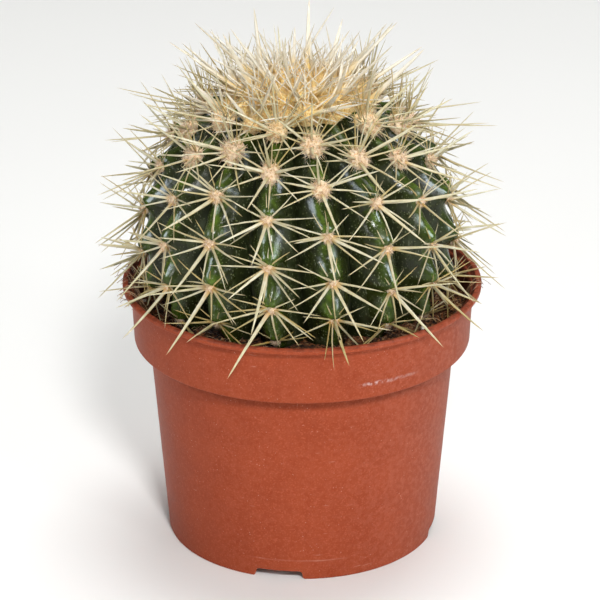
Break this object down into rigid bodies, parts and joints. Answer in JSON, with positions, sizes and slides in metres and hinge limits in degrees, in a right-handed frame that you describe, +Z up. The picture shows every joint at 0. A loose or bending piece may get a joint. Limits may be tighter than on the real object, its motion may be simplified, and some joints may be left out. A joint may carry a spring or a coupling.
{
  "type": "potted round cactus",
  "caption": "Round ribbed cactus with star-like cream spines and a woolly crown, rooted in dark soil in a terracotta-coloured plastic nursery pot.",
  "frame": {"origin": "centre of the pot's foot, on the surface that the pot stands on", "axes": "+Z up along the pot's axis; -Y towards the picture's viewer, whose near foot notch lies about 10 degrees to the -X side; +X to that viewer's right"},
  "size_m": [0.1394, 0.1392, 0.1825],
  "materials": {
    "pot_plastic": "satin",
    "soil": "matte",
    "plant_skin": "satin",
    "wool": "matte",
    "spines": "satin",
    "perlite": "matte"
  },
  "bodies": {
    "root": {"pot": "pot_plastic", "soil": "soil", "cactus_body": "plant_skin", "crown_wool": "wool"}
  },
  "joints": []
}
